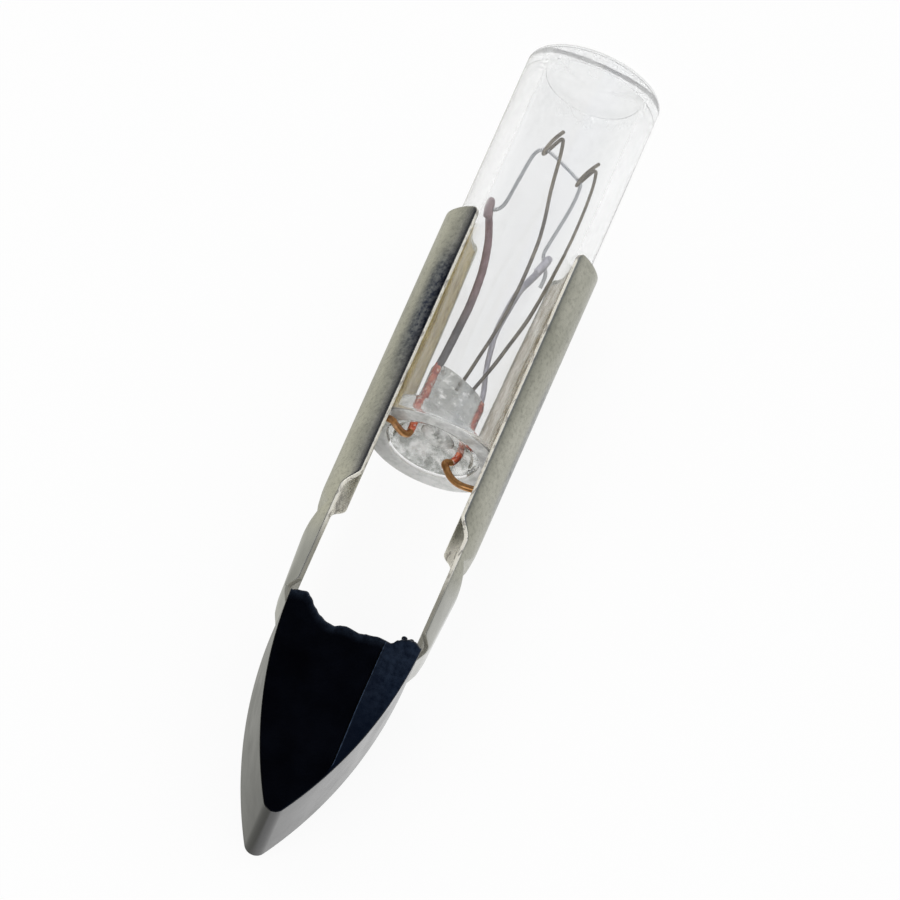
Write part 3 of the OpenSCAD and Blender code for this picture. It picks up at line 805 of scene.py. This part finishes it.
left_solder, right_solder = (1.42, -0.3), (0.4, -0.85)
left_outer = [
    (-LEAD_X, LEAD_FRONT, 0.15), (-0.91, 0.35, 0.04), (-0.97, 0.43, -0.07), (-1.12, 0.6, -0.16),
    (-1.3, 0.86, -0.21), (-1.46, 1.16, -0.25), (-1.59, 1.42, -0.3),
    (0.1 - plate_inner_x(1.42), *left_solder)]
right_outer = [
    (0.77, -0.28, -0.02), (0.67, -0.25, -0.08), (0.6, -0.22, -0.13), (0.58, -0.17, -0.25),
    (0.67, -0.1, -0.37), (0.87, 0.0, -0.62), (1.14, 0.12, -0.81), (1.43, 0.25, -0.9),
    (1.74, 0.33, -0.9), (2.05, 0.39, -0.87), (plate_inner_x(0.4) - 0.1, *right_solder)]
for label, route in (("left", left_outer), ("right", right_outer)):
    path = smooth_route(under_glass(route), WIRE_STEP)
    make_piece("copper_wire_" + label, tube(path, OUTER_LEAD_R, 16, 4),
               "copper", ["outer_lead_" + label])


SOLDER_R, SOLDER_SIDES, SOLDER_STEPS = 0.27, 24, 12


def solder_bead(side, front, height):
    """A lumpy half bead on the inside of the plate."""
    seat = plate_inner_x(front) - PLATE_SINK
    tilt = math.asin(front / BEND_IN) if seat < CROWN_OUT - PLATE_T - 0.02 else 0.0
    inward = Vector((-math.cos(tilt), -math.sin(tilt), 0))
    along = Vector((0, 0, 1))
    across = inward.cross(along)
    points, rings = [], []
    for i in range(SOLDER_STEPS + 1):
        a = math.radians(90 * i / SOLDER_STEPS)
        rings.append(len(points))
        for k in range(SOLDER_SIDES):
            turn = 2 * math.pi * k / SOLDER_SIDES
            lump = noise.noise(Vector((math.cos(turn) * 1.5, math.sin(turn) * 1.5, i * 0.2 + side)))
            r = SOLDER_R * math.cos(a) * (1 + 0.12 * lump)
            p = Vector((seat, front, height)) + inward * (SOLDER_R * math.sin(a))
            p += along * (r * math.cos(turn)) + across * (r * math.sin(turn))
            points.append(lamp(side * p.x, p.y, p.z))
    return points, capped_rings(rings, SOLDER_SIDES)


for (side, label), (front, height) in zip(SIDES, (left_solder, right_solder)):
    make_piece("solder_bead_" + label, solder_bead(side, front, GLASS_END + height),
               "solder", ["solder_" + label])


# Contact plates: (height, fall of the crown), from the top down into the block
FALL = [(23.2, 0), (12.24, 0), (11.83, 0.06), (GROOVE_H, GROOVE_DEPTH), (11.1, 0.13), (10.74, 0.03),
        (10.44, 0), (8.8, 0.1), (8.2, 0.13), (7.87, 0.2), (7.53, 0.36), (6.9, 0.63), (5.4, 0.63)]
FLANGE_ANGLE, SHANK_ANGLE, TONGUE_ANGLE = 55.0, 40.0, 27.3
TOP_CORNER = 0.25


def crown_fall(h):
    """How far in the crown lies at a height, straight from point to point."""
    for (h0, f0), (h1, f1) in zip(FALL, FALL[1:]):
        if h1 <= h <= h0:
            return f0 + (f1 - f0) * (h0 - h) / (h0 - h1)
    return FALL[-1][1]


def soft_fall(h):
    """The crown's fall with its creases eased, the groove's bottom least."""
    reach = 0.02 + 0.05 * smoothstep(abs(h - GROOVE_H), 0.05, 0.5)
    return (crown_fall(h - reach) + 2 * crown_fall(h) + crown_fall(h + reach)) / 4


def half_angle(h):
    """Half the angle that the sheet covers, rounded off at the top corners of the flange."""
    a = SHANK_ANGLE + (FLANGE_ANGLE - SHANK_ANGLE) * smoothstep(h, SHANK_TOP, FLANGE_END)
    a = TONGUE_ANGLE + (a - TONGUE_ANGLE) * smoothstep(h, 8.02, 8.3)
    left = PLATE_TOP - h
    if left < TOP_CORNER:
        cut_back = TOP_CORNER - math.sqrt(TOP_CORNER ** 2 - (TOP_CORNER - left) ** 2)
        a -= math.degrees(cut_back / BEND_OUT)
    return a


def plate_stations():
    """The heights of the sheet's sections, close together where it is bent."""
    out, h = [], TANG_END
    while h < PLATE_TOP - 0.3:
        out.append(h)
        h += 0.04 if h < 13 else 0.3
    return out + [PLATE_TOP - d for d in (0.25, 0.18, 0.12, 0.07, 0.035, 0.012, 0)]


def dark_patch_share(side, h, a):
    """The painted dark reflection towards the left plate's front edge, where the sheet is bent, or
    the patch low on the right plate, at an angle of a degrees round the sheet."""
    if side < 0:
        along = smoothstep(h, 14.5, 18.5) * (1 - 0.8 * smoothstep(h, 20.5, 22.3))
        along = max(along, 0.35 * smoothstep(h, 12.5, 13.2))
        return along * smoothstep(a, 24, 42)
    along = 0.6 * smoothstep(h, 12.8, 14.5) * (1 - smoothstep(h, 18, 19.5))
    return along * smoothstep(a, 4, 10) * (1 - smoothstep(a, 17, 26))


# Width of the band at a cut edge, painted bright as its highlight, and the strips across it:
# share of the sheet's thickness, and how far each stands back from the edge as a share of that
# width
CUT = 0.035
CUT_STRIPS = ((0.06, 0.2), (0.2, 0), (0.5, -0.12), (0.8, 0), (0.94, 0.2))
SHEET_COLS = 36


def plate_loop(side, h):
    """The sheet's section at a height, with the shares of the highlight painted on its cut edges
    and low on its inside, of its painted dark reflection, and of the clean metal low down."""
    fall, reach = soft_fall(h), math.radians(half_angle(h))
    thin = 0.03 * (1 - smoothstep(PLATE_TOP - h, 0, 0.04))

    def at(radius, cap, a):
        # the crown's flat meets the curve in an eased bend
        x = BEND_X + radius * math.cos(a)
        d = cap - x
        x = cap - (math.sqrt(d * d + 0.0009) + d) / 2 if d < 0.4 else x
        return lamp(side * x, radius * math.sin(a), h)

    outer = BEND_OUT - thin, CROWN_OUT - fall - thin
    inner = BEND_IN + thin, CROWN_OUT - PLATE_T - fall + thin
    cut_turn = CUT / outer[0]
    loop, edge, dark_patch = [], [], []
    for k in range(SHEET_COLS + 1):
        a = (reach - cut_turn) * (2 * k / SHEET_COLS - 1)
        loop.append(at(*outer, a))
        edge.append(0.0)
        dark_patch.append(dark_patch_share(side, h, math.degrees(a)))
    for sign, first, second in ((1, outer, inner), (-1, inner, outer)):
        for share, back in CUT_STRIPS:
            radius, cap = (a + (b - a) * share for a, b in zip(first, second))
            loop.append(at(radius, cap, sign * (reach - back * cut_turn)))
            edge.append(1.0)
            dark_patch.append(0.0)
        if sign > 0:
            for k in range(SHEET_COLS + 1):
                loop.append(at(*inner, (reach - cut_turn) * (1 - 2 * k / SHEET_COLS)))
                # low on its inside the sheet is painted with the edge colour too, as a highlight
                edge.append(0.85 * (1 - smoothstep(h, 12.6, 13.6)))
                dark_patch.append(0.0)
    clean = [1 - smoothstep(h, 9.6, 11.2)] * len(loop)
    return loop, {"edge": edge, "dark_patch": dark_patch, "clean": clean}


def plate_mesh(side):
    """A plate's points and faces, and the shares stored at its points."""
    loops, shares = [], {"edge": [], "dark_patch": [], "clean": []}
    for h in plate_stations():
        loop, more = plate_loop(side, h)
        loops.append(loop)
        for key, values in more.items():
            shares[key] += values
    points, faces = looped(loops)
    count = len(loops[0])
    half = count // 2
    for base, flip in ((0, 0), (len(points) - count, 1)):
        # the two halves of the loop face each other across the sheet's thickness
        for k in range(half - 1):
            far = (count - 7 - k) % count
            near = (far - 1) % count
            end = [base + k, base + far, base + near, base + k + 1]
            add_face(faces, end[::-1] if flip else end)
    return (points, mirrored_faces(side, faces)), shares


for side, label in SIDES:
    sheet, shares = plate_mesh(side)
    make_piece("plate_strip_" + label, sheet, "plate_" + label,
               ["contact_plate_" + label], shares)


# Cement, from a little above the glass's rim

CEMENT_HALF_W, CEMENT_START, CEMENT_LEN = 1.56, 0.6, 7.15


def cement_mesh(side):
    """The fill between the glass and one plate, its edges a little uneven."""
    rows, half = 40, 9
    loops = []
    for i in range(rows + 1):
        h = GLASS_END + CEMENT_START + CEMENT_LEN * i / rows
        loop = []
        for layer in (0, 1):
            for k in range(-half, half + 1):
                k = -k if layer else k
                uneven = 1 - 0.06 * abs(noise.noise(Vector((h * 1.3, side * 4, k > 0))))
                front = CEMENT_HALF_W * k / half * uneven
                if layer:
                    x = math.sqrt((GLASS_R + GLASS_GAP) ** 2 - front ** 2)
                else:
                    x = plate_inner_x(front) - PLATE_SINK
                loop.append(lamp(side * x, front, h))
        loops.append(loop)
    points, faces = looped(loops)
    count = len(loops[0])
    for base, flip in ((0, 0), (len(points) - count, 1)):
        for k in range(2 * half):
            end = [base + k, base + count - 1 - k, base + count - 2 - k, base + k + 1]
            faces.append(end[::-1] if flip else end)
    return points, mirrored_faces(side, faces)


for side, label in SIDES:
    make_piece("cement_fill_" + label, cement_mesh(side), "cement_" + label,
               ["cement_" + label])


# Wedge block: share of the half width, depth of the moulded top edge below the ears
MOULDED_EDGE = [
    (-1, 0.14), (-0.88, 0.06), (-0.77, 0), (-0.69, 0.14), (-0.59, 0.4), (-0.48, 0.6),
    (-0.36, 0.72), (-0.24, 0.74), (-0.17, 0.64), (-0.08, 0.58), (0.11, 0.62), (0.25, 0.53),
    (0.39, 0.46), (0.58, 0.48), (0.65, 0.26), (0.72, 0.14), (0.79, 0.07), (0.88, 0.05), (1, 0.18)]
OGIVE_R, NOSE_R, CREASE_X, FACET_SLOPE = 15.6, 0.39, 1.19, 0.085
CREASE_LINE, RIDGE, TOP_EDGE_TINT = 0.018, 0.012, 0.28
SPACING_H = 7.3

# Roundings of the block's side edges and of its moulded top edge, at the front and at the back
FRONT_ROUNDS, BACK_ROUNDS = (0.04, 0.13), (0.01, 0.05)
OGIVE_X = BLOCK_HALF_W - OGIVE_R
OGIVE_H = NOSE_R + math.sqrt((OGIVE_R - NOSE_R) ** 2 - OGIVE_X ** 2)
NOSE_H = NOSE_R - NOSE_R * (OGIVE_H - NOSE_R) / (OGIVE_R - NOSE_R)


def block_half_width(h):
    """Half the block's width at a height: a round nose, then the two curved sides."""
    if h < NOSE_H:
        return math.sqrt(max(0.0, NOSE_R ** 2 - (NOSE_R - h) ** 2))
    return OGIVE_X + math.sqrt(OGIVE_R ** 2 - (h - OGIVE_H) ** 2)


def block_top(share):
    """The height of the moulded top edge at a share of the half width."""
    depth = MOULDED_EDGE[-1][1]
    for (s0, d0), (s1, d1) in zip(MOULDED_EDGE, MOULDED_EDGE[1:]):
        if s0 <= share <= s1:
            depth = d0 + (d1 - d0) * smoothstep(share, s0, s1)
            break
    return BLOCK_H - depth - 0.02 * abs(noise.noise(Vector((share * 14, 2, 5))))


def fillet(d, r):
    """How far a corner of radius r stands back at a distance d from it."""
    return r - math.sqrt(max(0.0, r * r - (r - d) ** 2)) if d < r else 0.0


def block_mesh():
    """The block's points and faces, and its share of blue-grey at each point: painted reflection on
    the right facet, a painted highlight on the crease, and a tint along the top edge.
    """
    rows = [0.97 * (i / 56) ** 1.7 for i in range(57)]
    rows += [0.976, 0.981, 0.985, 0.989, 0.992, 0.995, 0.997, 0.9985, 1.0]
    near_side = [0, 0.002, 0.005, 0.009, 0.014, 0.02, 0.03, 0.06]
    left_cols = near_side + [0.06 + 0.94 * i / 44 for i in range(1, 44)]
    right_cols = [i / 16 for i in range(1, 15)] + [1 - c for c in near_side[::-1]]
    front, back, marks = [], [], []
    for t in rows:
        # columns are spaced as if the top edge were level, so the crease stays straight
        wide = block_half_width(t * SPACING_H)
        crease = min(CREASE_X, 0.9 * wide)
        before, after = crease - CREASE_LINE, crease + CREASE_LINE
        xs = [-wide + c * (before + wide) for c in left_cols]
        xs += [before, crease, after]
        xs += [after + c * (wide - after) for c in right_cols]
        front_row, back_row = [], []
        for x in xs:
            share = max(-1.0, min(1.0, x / wide)) if wide > 0 else 0.0
            top = block_top(share)
            h = t * top
            half_w = block_half_width(h)
            x = share * half_w
            round_off, back_round = (
                max(fillet(half_w - abs(x), side_r), fillet(top - h, top_r))
                for side_r, top_r in (FRONT_ROUNDS, BACK_ROUNDS))
            on_crease = abs(share * wide - crease) < CREASE_LINE / 2
            # the crease is raised a little and painted fully blue-grey as a highlight; the right
            # facet is painted blue-grey, more towards the top, as a reflection
            ridge = RIDGE if on_crease and wide > 1.3 else 0.0
            edge = 1 - smoothstep(top - h, 0.05, 0.35)
            facet = 0.02 + 0.2 * smoothstep(h, 3, 7.2)
            facet *= smoothstep(share * wide, crease, crease + 0.05)
            mark = max(TOP_EDGE_TINT * edge, facet, 1.0 if ridge else 0.0)
            y = BLOCK_HALF_T - FACET_SLOPE * max(0.0, x - CREASE_X) - round_off
            front_row.append((lamp(x, y + (ridge if round_off == 0 else 0), h), mark))
            back_row.append((lamp(x, back_round - BLOCK_HALF_T, h), TOP_EDGE_TINT * edge))
        front.append(front_row)
        back.append(back_row)
    points, marks, faces, known = [], [], [], {}

    def vertex(place, mark):
        key = tuple(round(c * 1e7) for c in place)
        if key not in known:
            known[key] = len(points)
            points.append(place)
            marks.append(mark)
        return known[key]

    def grid(rows_in, flip):
        ids = [[vertex(*v) for v in row] for row in rows_in]
        for low, high in zip(ids, ids[1:]):
            for k in range(len(low) - 1):
                quad = [low[k], low[k + 1], high[k + 1], high[k]]
                add_face(faces, quad[::-1] if flip else quad)

    grid(front, True)
    grid(back, False)

    def wall(front_edge, back_edge):
        strips = []
        for s in (0, 0.006, 0.1, 0.2, 0.3, 0.4, 0.5, 0.6, 0.7, 0.8, 0.9, 0.994, 1):
            strips.append([(a[0].lerp(b[0], s), a[1] + (b[1] - a[1]) * s)
                           for a, b in zip(front_edge, back_edge)])
        grid(strips, True)

    wall([row[0] for row in front[::-1]], [row[0] for row in back[::-1]])
    wall([row[-1] for row in front], [row[-1] for row in back])
    wall(front[-1][::-1], back[-1][::-1])
    return (points, faces), marks


def flash_bead(right, front, height, radius, seed):
    """A small lump of moulding flash on the block's top edge."""
    outline = [(0, -radius)] + corner(0, 0, radius, -72, 72, 8) + [(0, radius)]

    def place(p):
        lump = 1 + 0.3 * noise.noise(Vector((p.x, p.y, p.z)) * 9 + Vector((seed, 0, 0)))
        return Vector((right + p.x * lump, front + p.y * lump, height + p.z * lump))
    return lathe(outline, 20, place)


block, block_marks = block_mesh()
beads = joined(flash_bead(1.7, 1.7, 7.66, 0.1, 1.0), flash_bead(1.95, 1.66, 7.66, 0.11, 4.0),
               flash_bead(2.14, 1.62, 7.6, 0.11, 7.0))
BEAD_TINT = 0.15
sheen_and_edge_tint = block_marks + [BEAD_TINT] * len(beads[0])
make_piece("phenolic_wedge", joined(block, beads), "block", ["wedge_block"],
           {"sheen_and_edge_tint": sheen_and_edge_tint})


# Stage

HALF_FLOOR = 0.6
WHITE = (1.0, 1.0, 1.0)

# How much of the floor as the camera sees it is plain white, the rest being lit paper
GLOW_SHARE = 0.92

floor_mesh = bpy.data.meshes.new("floor_sheet")
floor_corners = [Vector((x, y, 0)) * HALF_FLOOR for x, y in ((-1, -1), (1, -1), (1, 1), (-1, 1))]
floor_mesh.from_pydata(floor_corners, [], [(0, 1, 2, 3)])
floor = add_object("floor_sheet", floor_mesh)
floor.location.z = -0.02 * MM

ground = bpy.data.materials.new("white_ground")
ground.use_nodes = True
tree = ground.node_tree
tree.nodes.clear()
out = tree.nodes.new("ShaderNodeOutputMaterial")
paper = tree.nodes.new("ShaderNodeBsdfDiffuse")
paper.inputs["Color"].default_value = (0.9, 0.9, 0.9, 1)
glow = tree.nodes.new("ShaderNodeEmission")
shade = tree.nodes.new("ShaderNodeMixShader")
rays = tree.nodes.new("ShaderNodeLightPath").outputs
looked_at = math_node(tree, "MAXIMUM", rays["Is Camera Ray"], rays["Is Glossy Ray"])
looked_at = math_node(tree, "MAXIMUM", looked_at, rays["Is Transmission Ray"])
tree.links.new(math_node(tree, "MULTIPLY", looked_at, GLOW_SHARE), shade.inputs[0])
# In reflections the floor is white on the lamp's right and a warm grey on its left
side_share = remap(tree, place_parts(tree)["X"], -0.3 * MM, 0.3 * MM)
card = blend(tree, side_share, (0.55, 0.55, 0.51), WHITE)
mirrored = math_node(tree, "SUBTRACT", rays["Is Glossy Ray"], rays["Is Transmission Ray"])
tree.links.new(blend(tree, mirrored, WHITE, card), glow.inputs["Color"])
tree.links.new(paper.outputs[0], shade.inputs[1])
tree.links.new(glow.outputs[0], shade.inputs[2])
tree.links.new(shade.outputs[0], out.inputs["Surface"])
floor_mesh.materials.append(ground)

# World: white to the camera, a plain level for soft light, and for reflections a white band
# round the horizon that gives way to a dark ceiling, sooner on the left
world = bpy.data.worlds.new("studio")
bpy.context.scene.world = world
world.use_nodes = True
tree = world.node_tree
tree.nodes.clear()
out = tree.nodes.new("ShaderNodeOutputWorld")
background = tree.nodes.new("ShaderNodeBackground")
tree.links.new(background.outputs[0], out.inputs["Surface"])
way_to_sky = place_parts(tree, "Generated")
rays = tree.nodes.new("ShaderNodeLightPath").outputs
left_sky = ramp(tree, way_to_sky["Z"], [
    (0.0, (0.85, 0.85, 0.85)), (0.06, (0.35, 0.35, 0.38)),
    (0.2, (0.1, 0.105, 0.13)), (0.7, (0.02, 0.02, 0.03))])
right_sky = ramp(tree, way_to_sky["Z"], [
    (0.0, (0.95, 0.95, 0.95)), (0.12, (0.7, 0.7, 0.68)),
    (0.45, (0.4, 0.41, 0.43)), (0.85, (0.06, 0.12, 0.3))])
sky = blend(tree, remap(tree, way_to_sky["X"], 0.03, 0.16), left_sky, right_sky)
through = blend(tree, 0.55, sky, WHITE)
sky = blend(tree, rays["Is Transmission Ray"], sky, through)
lit = blend(tree, rays["Is Diffuse Ray"], sky, (0.8, 0.8, 0.8))
shown = blend(tree, rays["Is Camera Ray"], lit, WHITE)
tree.links.new(shown, background.inputs["Color"])
background.inputs["Strength"].default_value = 1.0

key_data = bpy.data.lights.new("key_lamp", "AREA")
key_data.shape = "DISK"
key_data.size = 0.3
key_data.energy = 0.6
key = add_object("key_lamp", key_data)
key.location = (-0.2, -0.3, 0.35)
key.rotation_mode = "QUATERNION"
key.rotation_quaternion = (-key.location).to_track_quat("-Z", "Y")

# Camera, at the photograph's angle
PIXEL = 0.03299 * MM
PICTURE_WIDTH = 900
SENSOR = 36
CAMERA_DISTANCE = 0.5
AIM_RIGHT, AIM_UP = 19.5, 3.0
TILT, ROLL = math.radians(25.5), math.radians(24.0)
back_way = Vector((0, -math.sin(TILT), math.cos(TILT)))
along_lamp = Vector((0, math.cos(TILT), math.sin(TILT)))
right_way = Vector((1, 0, 0)) * math.cos(ROLL) + along_lamp * math.sin(ROLL)
up_way = Vector((-1, 0, 0)) * math.sin(ROLL) + along_lamp * math.cos(ROLL)
target = Vector((0, 0, GLASS_R * MM)) + right_way * (AIM_RIGHT * PIXEL) + up_way * (AIM_UP * PIXEL)
camera_data = bpy.data.cameras.new("camera")
camera_data.sensor_width = SENSOR
camera_data.lens = SENSOR * CAMERA_DISTANCE / (PICTURE_WIDTH * PIXEL)
camera_data.clip_start = 0.01
camera_data.clip_end = 5
camera = add_object("camera", camera_data)
camera.location = target + back_way * CAMERA_DISTANCE
camera.rotation_mode = "QUATERNION"
camera.rotation_quaternion = Matrix((right_way, up_way, back_way)).transposed().to_quaternion()
bpy.context.scene.camera = camera
bpy.context.scene.view_settings.view_transform = "Standard"
